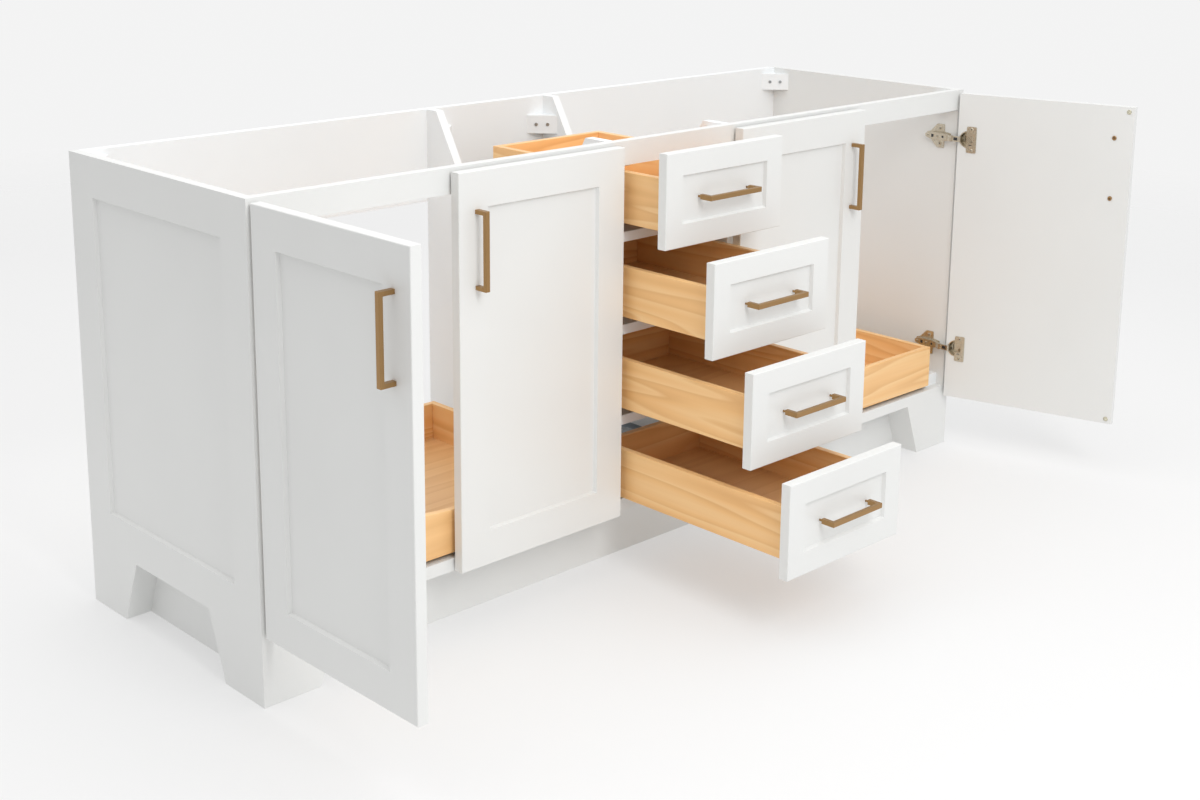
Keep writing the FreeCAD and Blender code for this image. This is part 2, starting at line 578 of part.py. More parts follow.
# ---- carcass ------------------------------------------------------------------
def side_panel():
    """Left side: two stiles that run down as legs, two rails and a recessed field."""
    cut = DEPTH - SIDE_FOOT_BOTTOM
    cut_top = DEPTH - SIDE_FOOT_TOP
    outline = [(0, 0), (SIDE_FOOT_BOTTOM, 0), (SIDE_FOOT_TOP, SIDE_CUT_HEIGHT),
               (cut_top, SIDE_CUT_HEIGHT), (cut, 0), (DEPTH, 0), (DEPTH, HEIGHT), (0, HEIGHT)]
    blank = side_prism(outline, LEFT, LEFT + BOARD)
    z0, z1 = SIDE_FIELD_BOTTOM, HEIGHT - SIDE_TOP_RAIL
    cutter = window_cutter(SIDE_STILE - RECESS_BEVEL, DEPTH - SIDE_STILE + RECESS_BEVEL,
                           z0 - RECESS_BEVEL, z1 + RECESS_BEVEL, 0, SIDE_RECESS, BOARD)
    # stand the cutter on the outer face: its x runs back from the front, its y inwards
    cutter = turned(cutter, V(0, 0, 0), V(0, 0, 1), 90)
    cutter = moved(mirror_x(cutter), LEFT, FRONT)
    ring = blank.cut(cutter)
    front_line = FRONT + SIDE_STILE
    back_line = -SIDE_STILE
    x0, x1 = LEFT - 1, LEFT + BOARD + 1
    regions = [box(x0, x1, FRONT - 1, front_line, -1, HEIGHT + 1),
               box(x0, x1, back_line, 1, -1, HEIGHT + 1),
               box(x0, x1, front_line, back_line, -1, z0),
               box(x0, x1, front_line, back_line, z1, HEIGHT + 1)]
    frame_parts = [ring.common(region).Solids[0] for region in regions]
    field = box(LEFT + SIDE_RECESS, LEFT + BOARD, front_line, back_line, z0, z1)
    return frame_parts + [field]


def partition():
    """Left partition, notched round the front rail and cut down between front and back."""
    run = NOTCH_DEPTH / math.tan(math.radians(NOTCH_SLOPE))
    back = DEPTH - BOARD
    low = HEIGHT - NOTCH_DEPTH
    outline = [(0, DECK_TOP), (back, DECK_TOP), (back, HEIGHT), (DEPTH - NOTCH_BACK, HEIGHT),
               (DEPTH - NOTCH_BACK - run, low), (NOTCH_FRONT + run, low), (NOTCH_FRONT, HEIGHT),
               (BOARD, HEIGHT), (BOARD, HEIGHT - TOP_RAIL_HEIGHT), (0, HEIGHT - TOP_RAIL_HEIGHT)]
    return side_prism(outline, PARTITION_LEFT, PARTITION_LEFT + BOARD)


def dividers():
    """Shallow boards between the drawers, tied to both partitions."""
    boards = []
    for index in range(1, len(DRAWER_NAMES)):
        gap_centre = FRONT_TOP - index * (DRAWER_HEIGHT + FRONT_GAP) + FRONT_GAP / 2
        z0 = gap_centre + DIVIDER_RISE - BOARD / 2
        boards.append(box(BANK_INNER, -BANK_INNER, FRONT, FRONT + DIVIDER_DEPTH, z0, z0 + BOARD))
    return boards


def plinth():
    x = LEFT + SIDE_PLINTH_RECESS
    toe = box(x, -x, FRONT + TOE_RECESS, FRONT + TOE_RECESS + BOARD, 0, DECK_BOTTOM)
    side = box(x, x + BOARD, FRONT + TOE_RECESS + BOARD, -BOARD, 0, DECK_BOTTOM)
    return [toe] + both_sides([side])


def foot_slope(bottom, top, rise, height):
    return bottom + (top - bottom) * height / rise


def feet():
    """Left front foot face, its return to the toe board, and the two side returns."""
    x = LEFT
    face = prism([V(x + BOARD, FRONT, 0), V(x + FRONT_FOOT_BOTTOM, FRONT, 0),
                  V(x + FRONT_FOOT_TOP, FRONT, RAIL_BOTTOM), V(x + BOARD, FRONT, RAIL_BOTTOM)],
                 V(0, BOARD, 0))
    upper = foot_slope(FRONT_FOOT_BOTTOM, FRONT_FOOT_TOP, RAIL_BOTTOM, DECK_BOTTOM)
    front_return = prism([V(x + FRONT_FOOT_BOTTOM - RETURN_BOARD, FRONT + BOARD, 0),
                          V(x + FRONT_FOOT_BOTTOM, FRONT + BOARD, 0),
                          V(x + upper, FRONT + BOARD, DECK_BOTTOM),
                          V(x + upper - RETURN_BOARD, FRONT + BOARD, DECK_BOTTOM)],
                         V(0, TOE_RECESS - BOARD, 0))
    side_upper = foot_slope(SIDE_FOOT_BOTTOM, SIDE_FOOT_TOP, SIDE_CUT_HEIGHT, DECK_BOTTOM)
    outline = [(SIDE_FOOT_BOTTOM - RETURN_BOARD, 0), (SIDE_FOOT_BOTTOM, 0),
               (side_upper, DECK_BOTTOM), (side_upper - RETURN_BOARD, DECK_BOTTOM)]
    rear_outline = [(DEPTH - n, z) for n, z in outline]
    inner = LEFT + SIDE_PLINTH_RECESS
    returns = [side_prism(points, LEFT + BOARD, inner) for points in (outline, rear_outline)]
    return both_sides([face, front_return] + returns)


def corner_block(x, y, x_sign, y_sign, top):
    """Triangular block in a corner at (x, y), with two screws through its long face."""
    corner = [(x, y), (x + x_sign * BLOCK_LEG, y), (x, y + y_sign * BLOCK_LEG)]
    block = plan_prism(corner, top - BLOCK_HEIGHT, top)
    out = V(x_sign, y_sign, 0).normalize()
    along = V(-y_sign, x_sign, 0).normalize()
    middle = V(x + x_sign * BLOCK_LEG / 2, y + y_sign * BLOCK_LEG / 2, top - BLOCK_HEIGHT / 2)
    heads = []
    for sign in (-1, 1):
        start = middle + along * (sign * BLOCK_SCREW_SPACING / 2)
        heads.append(cylinder(BLOCK_SCREW_RADIUS, SCREW_HEAD_HEIGHT, start, out))
    return block, heads


def corner_blocks():
    """Left half: outer front and back corners, and both ends of the drawer bank."""
    front, back = FRONT + BOARD, -BOARD
    places = [(LEFT + BOARD, front, 1, BLOCK_DROP), (LEFT + BOARD, back, -1, BLOCK_DROP),
              (BANK_INNER, front, 1, BLOCK_DROP), (BANK_INNER, back, -1, BLOCK_DROP_LOW)]
    blocks, screws = [], []
    for x, y, y_sign, drop in places:
        block, heads = corner_block(x, y, 1, y_sign, HEIGHT - drop)
        blocks.append(block)
        screws += heads
    return both_sides(blocks), both_sides(screws)


def build_carcass():
    inner = LEFT + BOARD
    left_side = side_panel()
    blocks, screws = corner_blocks()
    deck = [box(inner, -inner, FRONT + BOARD, -BOARD, DECK_BOTTOM, DECK_TOP)]
    bottom_rail = [box(inner, -inner, FRONT, FRONT + BOARD, RAIL_BOTTOM, DECK_TOP)]
    top_rail = [box(inner, -inner, FRONT, FRONT + BOARD, HEIGHT - TOP_RAIL_HEIGHT, HEIGHT)]
    back_rails = [box(inner, -inner, -BOARD, 0, HEIGHT - BACK_RAIL_HEIGHT, HEIGHT),
                  box(inner, -inner, -BOARD, 0, 0, DECK_TOP)]
    return {
        "side_panel_left": left_side,
        "side_panel_right": [mirror_x(part) for part in left_side],
        "partitions": both_sides([partition()]),
        "deck": deck,
        "front_rails": bottom_rail + top_rail,
        "back_rails": back_rails,
        "drawer_dividers": dividers(),
        "plinth": plinth(),
        "feet": feet(),
        "corner_blocks": blocks,
        "corner_block_screws": screws,
        "hinge_arms": hinge_arms(),
    }


def build_nodes():
    nodes = build_carcass()
    for name in DOORS:
        nodes.update(build_door(name))
    cabinet_members = []
    for index, name in enumerate(DRAWER_NAMES):
        drawer, members = build_drawer(index, name)
        nodes.update(drawer)
        cabinet_members += members
    tray, members, spacers = build_tray("tray_left")
    nodes.update(tray)
    for node, parts in tray.items():
        nodes[node.replace("left", "right")] = [mirror_x(part) for part in parts]
    nodes["runner_cabinet_members"] = cabinet_members + both_sides(members)
    nodes["tray_spacers"] = both_sides(spacers)
    return nodes


def write(nodes):
    os.makedirs("parts", exist_ok=True)
    for name, parts in nodes.items():
        solids = [solid for part in parts for solid in part.Solids]
        shape = solids[0] if len(solids) == 1 else Part.makeCompound(solids)
        if not shape.isValid():
            raise ValueError("invalid shape in " + name)
        shape.exportStep(os.path.join("parts", name + ".step"))
        extent = shape.BoundBox
        print("%-34s %2d solids  %8.1f cm3  x %8.1f %8.1f  y %8.1f %8.1f  z %7.1f %7.1f" % (
            name, len(solids), shape.Volume / 1000, extent.XMin, extent.XMax,
            extent.YMin, extent.YMax, extent.ZMin, extent.ZMax))
    print(len(nodes), "nodes")
    for name, door in DOORS.items():
        pivot = door_pivot(door)
        print(name, "axis at", round(pivot.x, 3), round(pivot.y, 3))


write(build_nodes())
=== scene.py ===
"""Looks of the bathroom vanity cabinet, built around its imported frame.

The painted boards, pulls and runners keep their CAD shapes and get their finish here. The
wooden boxes are rebuilt board by board, with eased edges and grain along each board. The
hinges are rebuilt with their flanges and winged plates, and screws and bumpers are added.
Lengths are in metres.
"""

import json
import math
import random

import bmesh
import bpy
from mathutils import Euler, Matrix, Vector


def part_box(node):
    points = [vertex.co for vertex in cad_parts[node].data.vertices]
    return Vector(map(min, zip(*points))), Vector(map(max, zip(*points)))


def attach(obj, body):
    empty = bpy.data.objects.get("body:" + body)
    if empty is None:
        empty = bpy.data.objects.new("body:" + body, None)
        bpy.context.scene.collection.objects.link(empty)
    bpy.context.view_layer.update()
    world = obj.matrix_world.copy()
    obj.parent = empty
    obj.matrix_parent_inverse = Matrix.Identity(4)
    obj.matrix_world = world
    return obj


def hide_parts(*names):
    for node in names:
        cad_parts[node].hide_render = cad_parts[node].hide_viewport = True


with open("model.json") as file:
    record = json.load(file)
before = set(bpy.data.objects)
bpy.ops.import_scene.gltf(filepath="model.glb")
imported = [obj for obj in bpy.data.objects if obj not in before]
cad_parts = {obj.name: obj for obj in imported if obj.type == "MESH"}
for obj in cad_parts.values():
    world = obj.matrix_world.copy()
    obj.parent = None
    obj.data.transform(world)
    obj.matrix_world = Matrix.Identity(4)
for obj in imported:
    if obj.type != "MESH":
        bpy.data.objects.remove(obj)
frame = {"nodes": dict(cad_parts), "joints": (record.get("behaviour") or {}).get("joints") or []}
NODES = frame["nodes"]
JOINTS = {joint["name"]: joint for joint in frame["joints"]}
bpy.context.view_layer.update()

DOORS = ("door_left_outer", "door_left_inner", "door_right_inner", "door_right_outer")
DRAWERS = ("drawer_top", "drawer_second", "drawer_third", "drawer_bottom")
TRAYS = ("tray_left", "tray_right")


# ---- camera -------------------------------------------------------------------
CAMERA_PLACE = (-2.2183, -2.6416, 1.3087)
CAMERA_TURN = (77.317, -0.502, -43.912)      # degrees, XYZ
CAMERA_LENS = 50.57
CAMERA_SHIFT = -0.1375


def add_camera():
    data = bpy.data.cameras.new("camera")
    data.lens = CAMERA_LENS
    data.sensor_width = 36.0
    data.shift_y = CAMERA_SHIFT
    data.clip_end = 60.0
    camera = bpy.data.objects.new("camera", data)
    camera.location = CAMERA_PLACE
    camera.rotation_euler = Euler([math.radians(a) for a in CAMERA_TURN], "XYZ")
    bpy.context.scene.collection.objects.link(camera)
    bpy.context.scene.camera = camera


# ---- node material helpers ------------------------------------------------------
def opaque(colour):
    """A socket as it is, or a red, green, blue colour with full alpha."""
    return colour if isinstance(colour, bpy.types.NodeSocket) else (*colour, 1)


class Shader:
    """A node material with short calls for the nodes used here."""

    def __init__(self, name):
        self.material = bpy.data.materials.new(name)
        self.material.use_nodes = True
        self.tree = self.material.node_tree
        self.surface = self.tree.nodes["Principled BSDF"]

    def node(self, kind, **inputs):
        made = self.tree.nodes.new(kind)
        for key, value in inputs.items():
            self.feed(made.inputs[key.replace("_", " ")], value)
        return made

    def feed(self, socket, value):
        if isinstance(value, bpy.types.NodeSocket):
            self.tree.links.new(value, socket)
        else:
            socket.default_value = value

    def object_coordinates(self, scale=(1, 1, 1)):
        place = self.node("ShaderNodeTexCoord")
        return self.stretched(place.outputs["Object"], scale)

    def attribute(self, name, scale=(1, 1, 1)):
        source = self.node("ShaderNodeAttribute")
        source.attribute_name = name
        return self.stretched(source.outputs["Vector"], scale)

    def stretched(self, vector, scale):
        mapping = self.node("ShaderNodeMapping", Vector=vector, Scale=scale)
        return mapping.outputs["Vector"]

    def noise(self, vector, scale, detail=2.0, roughness=0.5, distortion=0.0):
        made = self.node("ShaderNodeTexNoise", Vector=vector, Scale=scale, Detail=detail,
                         Roughness=roughness, Distortion=distortion)
        return made.outputs["Fac"]

    def ramp(self, value, *stops):
        made = self.node("ShaderNodeValToRGB", Fac=value)
        ramp = made.color_ramp
        while len(ramp.elements) < len(stops):
            ramp.elements.new(0.5)
        for element, (position, colour) in zip(ramp.elements, stops):
            element.position = position
            element.color = (*colour, 1.0)
        return made.outputs["Color"]

    def spread(self, value, low, high):
        made = self.node("ShaderNodeMapRange", Value=value, To_Min=low, To_Max=high)
        return made.outputs["Result"]

    def math(self, operation, first, second=0.0):
        made = self.tree.nodes.new("ShaderNodeMath")
        made.operation = operation
        self.feed(made.inputs[0], first)
        self.feed(made.inputs[1], second)
        return made.outputs[0]

    def mix(self, factor, first, second, blend="MIX"):
        made = self.tree.nodes.new("ShaderNodeMix")
        made.data_type = "RGBA"
        made.blend_type = blend
        self.feed(made.inputs[0], factor)
        self.feed(made.inputs[6], opaque(first))
        self.feed(made.inputs[7], opaque(second))
        return made.outputs[2]

    def bump(self, height, strength, distance):
        made = self.node("ShaderNodeBump", Height=height, Strength=strength, Distance=distance)
        self.feed(self.surface.inputs["Normal"], made.outputs["Normal"])

    def set(self, **inputs):
        for key, value in inputs.items():
            self.feed(self.surface.inputs[key.replace("_", " ")], value)
        return self.material


def paint(name, tone, rough):
    """Sprayed satin lacquer: nearly even tone, faint orange peel, slightly uneven sheen."""
    s = Shader(name)
    place = s.object_coordinates()
    cloud = s.noise(place, 2.6, 3.0)
    darker = tuple(c * 0.955 for c in tone)
    colour = s.ramp(cloud, (0.30, darker), (0.72, tone))
    grain = s.noise(s.object_coordinates((1.0, 1.0, 0.35)), 190.0, 2.0)
    colour = s.mix(s.spread(grain, 0.0, 0.05), colour, tuple(c * 0.9 for c in tone))
    sheen = s.spread(s.noise(place, 9.0, 4.0), rough - 0.05, rough + 0.06)
    s.bump(s.noise(place, 620.0, 3.0, 0.6), 0.16, 0.0002)
    return s.set(Base_Color=colour, Roughness=sheen, Specular_IOR_Level=0.45, Coat_Weight=0.12,
                 Coat_Roughness=0.25)


def wood(name, light, middle, dark, lines=11.0, end_grain=False):
    """Lacquered pine. Growth rings are contour lines of a noise field stretched along the board."""
    s = Shader(name)
    if end_grain:
        field = s.noise(s.attribute("grain", (2.0, 9.0, 9.0)), 1.7, 2.0, 0.4, 0.2)
    else:
        field = s.noise(s.attribute("grain", (0.45, 7.5, 7.5)), 1.6, 2.2, 0.42, 0.15)
    rings = s.math("FRACT", s.math("MULTIPLY", field, lines))
    colour = s.ramp(rings, (0.0, light), (0.52, middle), (0.86, dark), (1.0, light))
    broad = s.noise(s.attribute("grain", (1.3, 5.0, 5.0)), 3.0, 2.0)
    colour = s.mix(s.spread(broad, 0.10, 0.65), colour, light)
    each_board = s.noise(s.attribute("grain", (0.06, 0.06, 0.06)), 1.0, 0.0)
    colour = s.mix(s.spread(each_board, 0.0, 0.7), colour, (1.0, 0.87, 0.66), "MULTIPLY")
    fibres = s.noise(s.attribute("grain", (14.0, 900.0, 900.0)), 1.0, 3.0, 0.6)
    colour = s.mix(s.spread(fibres, 0.0, 0.34), colour, middle, "MULTIPLY" if end_grain else "MIX")
    streaks = s.noise(s.attribute("grain", (5.0, 160.0, 160.0)), 1.0, 3.0, 0.55)
    colour = s.mix(s.spread(streaks, 0.0, 0.30), colour, dark)
    s.bump(s.math("ADD", s.math("MULTIPLY", fibres, 0.6), rings), 0.12, 0.0002)
    sheen = s.spread(fibres, 0.34, 0.5)
    return s.set(Base_Color=colour, Roughness=sheen, Specular_IOR_Level=0.42, Coat_Weight=0.18,
                 Coat_Roughness=0.3)


def metal(name, tone, shade, rough, brush, grit=0.1):
    """Plated or brushed metal. brush stretches the fine lines, one number per axis."""
    s = Shader(name)
    lines = s.noise(s.object_coordinates(brush), 1.0, 4.0, 0.65)
    cloud = s.noise(s.object_coordinates(), 45.0, 3.0)
    colour = s.mix(s.spread(lines, 0.0, 0.8), tone, shade)
    colour = s.mix(s.spread(cloud, 0.0, 0.22), colour, shade)
    s.bump(lines, grit, 0.0001)
    return s.set(Base_Color=colour, Metallic=1.0, Specular_IOR_Level=0.5,
                 Roughness=s.spread(lines, rough - 0.07, rough + 0.09))


def moulded_plastic(name, tone, rough):
    """Fine-grained plastic with a slightly uneven tone."""
    s = Shader(name)
    place = s.object_coordinates()
    cloud = s.noise(place, 60.0, 3.0)
    colour = s.mix(s.spread(cloud, 0.0, 0.5), tone, tuple(c * 1.7 for c in tone))
    s.bump(s.noise(place, 1500.0, 2.0), 0.25, 0.0002)
    return s.set(Base_Color=colour, Roughness=s.spread(s.noise(place, 200.0), rough, rough + 0.12))


def clear_bumper(name):
    """Soft clear plastic, a little yellowed."""
    s = Shader(name)
    place = s.object_coordinates()
    cloud = s.noise(place, 120.0, 2.0)
    colour = s.mix(s.spread(cloud, 0.0, 0.4), (0.86, 0.82, 0.66), (0.80, 0.74, 0.52))
    s.bump(s.noise(place, 400.0), 0.1, 0.0002)
    return s.set(Base_Color=colour, Roughness=0.22, Transmission_Weight=0.55, IOR=1.45)


WHITE = paint("white_satin_paint", (0.80, 0.805, 0.792), 0.40)
# Lighter, slightly cooler copy of the white paint for the inside parts. This is painted light: it
# stands in for the light that reaches the bays from several sides, and it offsets the warm light
# that the wood throws on them.
INSIDE_PAINTED_LIGHTER = paint("white_paint_painted_lighter_inside", (0.905, 0.925, 0.935), 0.46)
PINE = wood("lacquered_pine", (0.98, 0.70, 0.385), (0.90, 0.535, 0.225), (0.72, 0.37, 0.125))
PINE_END = wood("pine_end_grain", (0.66, 0.38, 0.165), (0.56, 0.30, 0.12), (0.42, 0.20, 0.07),
                22.0, True)
PANEL = wood("pine_plywood", (0.84, 0.54, 0.27), (0.78, 0.47, 0.22), (0.68, 0.38, 0.16), 7.0)
BRONZE_ACROSS = metal("champagne_bronze_across", (0.46, 0.285, 0.13), (0.34, 0.20, 0.085), 0.38,
                      (25.0, 1500.0, 1500.0))
BRONZE_UPRIGHT = metal("champagne_bronze_upright", (0.46, 0.285, 0.13), (0.34, 0.20, 0.085), 0.38,
                       (1500.0, 1500.0, 25.0))
NICKEL = metal("plated_nickel", (0.74, 0.675, 0.55), (0.46, 0.40, 0.31), 0.27,
               (300.0, 300.0, 700.0), 0.2)
ZINC = metal("zinc_plated_steel", (0.54, 0.56, 0.58), (0.36, 0.38, 0.40), 0.33,
             (60.0, 900.0, 900.0), 0.15)
# Dark moulded plastic for the clips. The same material is also the painted shade in screw recesses
# and hinge slots.
DARK_PLASTIC_AND_SHADE = moulded_plastic("dark_plastic", (0.022, 0.022, 0.025), 0.42)
CLEAR = clear_bumper("clear_bumper")


def dress(name, *materials):
    """Give a CAD node its finish."""
    mesh = NODES[name].data
    mesh.materials.clear()
    for material in materials:
        mesh.materials.append(material)


# Inside parts that get the lighter copy of the white paint, which is painted light.
INSIDE_PAINTED_LIGHTER_NODES = ("partitions", "deck", "back_rails", "drawer_dividers", "corner_blocks",
                "tray_spacers")


def dress_frame():
    for name in NODES:
        if name.endswith("_pull"):
            dress(name, BRONZE_UPRIGHT if name.startswith("door") else BRONZE_ACROSS)
        elif "hinge" in name:
            dress(name, NICKEL)
        elif name.endswith("_clips"):
            dress(name, DARK_PLASTIC_AND_SHADE)
        elif "runner" in name or name == "corner_block_screws":
            dress(name, ZINC)
        elif name.endswith("_box"):
            dress(name, PINE)
        else:
            dress(name, INSIDE_PAINTED_LIGHTER if name in INSIDE_PAINTED_LIGHTER_NODES else WHITE)


# ---- mesh helpers ---------------------------------------------------------------
SHARP_ANGLE = math.radians(35)


def finish_piece(name, bm, materials, body, bevel=0.0, smooth=False):
    """Turn a bmesh into a piece that rides on a body."""
    bmesh.ops.recalc_face_normals(bm, faces=bm.faces)
    mesh = bpy.data.meshes.new(name)
    bm.to_mesh(mesh)
    bm.free()
    for material in materials:
        mesh.materials.append(material)
    if smooth:
        mesh.shade_smooth()
        mesh.set_sharp_from_angle(angle=SHARP_ANGLE)
    piece = bpy.data.objects.new(name, mesh)
    bpy.context.scene.collection.objects.link(piece)
    if bevel:
        modifier = piece.modifiers.new("eased_edges", "BEVEL")
        modifier.width = bevel
        modifier.segments = 2
        modifier.limit_method = "ANGLE"
        modifier.angle_limit = SHARP_ANGLE
    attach(piece, body)
    return piece


def prism(bm, outline, axis, start, end, grain=None, seed=(0, 0, 0)):
    """Straight prism. outline holds points on the two other axes, in the order y z, z x or x y.
    grain is the axis that the wood fibres follow; faces across it get the end grain."""
    others = ((1, 2), (2, 0), (0, 1))[axis]
    layers = bm.verts.layers.float_vector
    layer = None if grain is None else layers.get("grain") or layers.new("grain")

    def corner(point, along):
        place = [0.0, 0.0, 0.0]
        place[axis] = along
        place[others[0]], place[others[1]] = point
        return bm.verts.new(place)

    first = [corner(point, start) for point in outline]
    last = [corner(point, end) for point in outline]
    faces = [bm.faces.new(first), bm.faces.new(last)]
    count = len(outline)
    for i in range(count):
        j = (i + 1) % count
        faces.append(bm.faces.new((first[i], first[j], last[j], last[i])))
    if grain is None:
        return
    order = (grain, (grain + 1) % 3, (grain + 2) % 3)
    for vert in first + last:
        vert[layer] = Vector([vert.co[k] + seed[n] for n, k in enumerate(order)])
    for face in faces:
        face.normal_update()
        if abs(face.normal[grain]) > 0.9:
            face.material_index = 1


def block(bm, low, high, grain=None, seed=(0, 0, 0)):
    prism(bm, [(low[0], low[1]), (high[0], low[1]), (high[0], high[1]), (low[0], high[1])],
          2, low[2], high[2], grain, seed)


def disc(bm, centre, direction, profile, sides=24):
    """Turned shape: profile holds (distance along direction, radius) from one end to the other."""
    turn = Vector((0, 0, 1)).rotation_difference(Vector(direction).normalized()).to_matrix()
    rings = []
    for along, radius in profile:
        ring = []
        for k in range(sides):
            a = 2 * math.pi * k / sides
            local = Vector((radius * math.cos(a), radius * math.sin(a), along))
            ring.append(bm.verts.new(Vector(centre) + turn @ local))
        rings.append(ring)
    for lower, upper in zip(rings, rings[1:]):
        for k in range(sides):
            j = (k + 1) % sides
            bm.faces.new((lower[k], lower[j], upper[j], upper[k]))
    bm.faces.new(list(reversed(rings[0])))
    bm.faces.new(rings[-1])


def screw(bm, centre, direction, radius, height):
    """Pan head with a cross recess, standing on centre and facing along direction."""
    depth = height * 0.5
    profile = [(0.0, radius), (height * 0.45, radius), (height * 0.8, radius * 0.82),
               (height, radius * 0.5), (height, radius * 0.3), (height - depth, radius * 0.16)]
    disc(bm, centre, direction, profile, 20)
    turn = Vector((0, 0, 1)).rotation_difference(Vector(direction).normalized()).to_matrix()
    # The cross is a thin dark sheet laid just over the head, in the second material. It is painted
    # shade in the cross recess.
    arm, half, top = radius * 0.62, radius * 0.13, height * 1.03
    for quarter in range(4):
        a = quarter * math.pi / 2 + 0.5
        spin = Matrix.Rotation(a, 3, "Z")
        corners = [(radius * 0.14, -half, top), (arm, -half * 0.6, top), (arm, half * 0.6, top),
                   (radius * 0.14, half, top)]
        upper = [bm.verts.new(Vector(centre) + turn @ (spin @ Vector(c))) for c in corners]
        lower = [bm.verts.new(v.co - Vector(direction).normalized() * height * 0.12) for v in upper]
        faces = [bm.faces.new(upper), bm.faces.new(list(reversed(lower)))]
        for i in range(4):
            j = (i + 1) % 4
            faces.append(bm.faces.new((upper[i], lower[i], lower[j], upper[j])))
        for face in faces:
            face.material_index = 1


# ---- wooden boxes -----------------------------------------------------------------
BOARD = 0.013
BOTTOM_RISE = 0.013          # underside of the bottom panel above the box's lower edge
BOTTOM_THICKNESS = 0.006
BOTTOM_GROOVE = 0.0005       # how far the bottom panel reaches into the boards
EASED_EDGE = 0.0011
SCOOP = (0.2, 0.013)         # width and depth of the dip in a tray's front
SCOOP_STEPS = 28
SCOOP_FULLNESS = 0.55        # below 1 the dip gets steeper ends
SEED_RANGE = 40              # where on the endless log each board is cut from


def cross_board(low, high, seed, scoop=None):
    """Front or back of a box, its upper edge dipped in the middle where a scoop is given."""
    bm = bmesh.new()
    outline = [(low[0], low[2]), (high[0], low[2]), (high[0], high[2])]
    if scoop:
        width, depth = scoop
        middle = (low[0] + high[0]) / 2
        for k in range(SCOOP_STEPS + 1):
            t = 1 - 2 * k / SCOOP_STEPS
            dip = depth * (0.5 + 0.5 * math.cos(math.pi * t)) ** SCOOP_FULLNESS
            outline.append((middle + t * width / 2, high[2] - dip))
    outline.append((low[0], high[2]))
    prism(bm, [(z, x) for x, z in outline], 1, low[1], high[1], 0, seed)
    return bm


def wooden_box(name, body, scoop=None):
    """Box of five boards. A scooped front covers the ends of the sides."""
    low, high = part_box(name)
    rng = random.Random(name)

    def seed():
        return [rng.uniform(0, SEED_RANGE) for _ in range(3)]

    back_low = low.z + BOTTOM_RISE
    side_start = low.y + BOARD if scoop else low.y
    boards = []
    for side, x0 in (("left", low.x), ("right", high.x - BOARD)):
        bm = bmesh.new()
        block(bm, (x0, side_start, low.z), (x0 + BOARD, high.y, high.z), 1, seed())
        boards.append((side + "_side", bm))
    cover = 0.0 if scoop else BOARD
    front_high = (high.x - cover, low.y + BOARD, high.z)
    front = cross_board((low.x + cover, low.y, low.z), front_high, seed(), scoop)
    back = cross_board((low.x + BOARD, high.y - BOARD, back_low), (high.x - BOARD, high.y, high.z),
                       seed())
    boards += [("front_board", front), ("back_board", back)]
    pieces = [finish_piece(f"{name}_{part}", bm, (PINE, PINE_END), body, EASED_EDGE)
              for part, bm in boards]
    bm = bmesh.new()
    inset = BOARD - BOTTOM_GROOVE
    block(bm, (low.x + inset, low.y + inset, back_low),
          (high.x - inset, high.y - inset, back_low + BOTTOM_THICKNESS), 0, seed())
    finish_piece(f"{name}_bottom_panel", bm, (PANEL, PINE_END), body)
    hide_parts(name)


# ---- hinges and small hardware ------------------------------------------------------
# Hinge coordinates start on the pin: u runs along the door from its hinge edge, n out of its
# back face, z up. The arms use the coordinates of the shut door.
ALONG, OUT, UP = (1, 0, 0), (0, 1, 0), (0, 0, 1)
HAND = {"door_left_outer": 1, "door_left_inner": -1, "door_right_inner": 1, "door_right_outer": -1}
OPENED = {"door_left_outer": 89.5, "door_left_inner": 0.0, "door_right_inner": 0.0,
          "door_right_outer": 105.0}                # degrees at rest
DOOR_WIDTH = 0.37675
PIN_TO_EDGE = 0.0105         # hinge pin from the door's hinge edge
PIN_TO_BACK = 0.011          # and from its back face
PIN_RADIUS = 0.0012
PIN_LENGTH = 0.018
HINGE_HEIGHTS = (0.233, 0.709)
KNUCKLE = 0.0024             # radius of the arm's end on the pin
HALF = 0.006                 # half height of the knuckle and its strap
EAR_START = 0.0064           # ears that hold the pin, above and below the knuckle
EAR_THICKNESS = 0.0026
EAR_DEPTH = 0.0142
CUP_CENTRE = 0.012           # centre of the cup from the pin, along the door
# Cup from its floor round the outside, over the lip and back inside: height over the door's
# back face, radius.
CUP_PROFILE = ((-0.0145, 0.0002), (-0.0145, 0.0175), (0.0, 0.0175), (0.0, 0.0190),
               (0.0008, 0.0188), (0.0010, 0.0169), (-0.0139, 0.0169), (-0.0139, 0.0002))
FLANGE_NEAR = 0.0095         # flange from the pin, along the door
FLANGE_FAR = 0.0315
FLANGE_HALF = 0.0290
FLANGE_THICKNESS = 0.0014
NOTCH_HALF = 0.0073          # notch that the strap passes through
NOTCH_END = 0.0225
FLANGE_SCREWS = (0.0205, 0.0232)                    # along the door, above and below the cup
FLANGE_HEAD = (0.0036, 0.0015)                      # radius and height of a screw's head
FLANGE_RIB = ((0.0235, 0.0013, -0.0150), (0.0300, 0.0026, 0.0150))
# The flange slot is a thin dark sheet on the flange: painted shade inside the slot.
FLANGE_SLOT = ((0.0150, 0.0012, -0.0125), (0.0215, 0.0017, -0.0108))
SEAT = 0.0001                # how far heads and bumpers sink into what they sit on
BUMPER_INSET = 0.012         # from the door's free edge
BUMPER_DROP = 0.0105         # from its upper and lower edges
BUMPER_PROFILE = ((0.0, 0.0046), (0.0006, 0.005), (0.0014, 0.0046), (0.0021, 0.0032),
                  (0.0024, 0.0014))
PULL_INSET = 0.0385          # pull screws from the free edge
PULL_END = 0.0035            # and from the ends of the pull
PULL_SEAT = 0.0014           # their heads above the door's back face
PULL_HEAD = (0.0043, 0.0012)
FINE_EDGE = 0.0004           # bevels of pressed and moulded metal
SLOT_EDGE = 0.0002

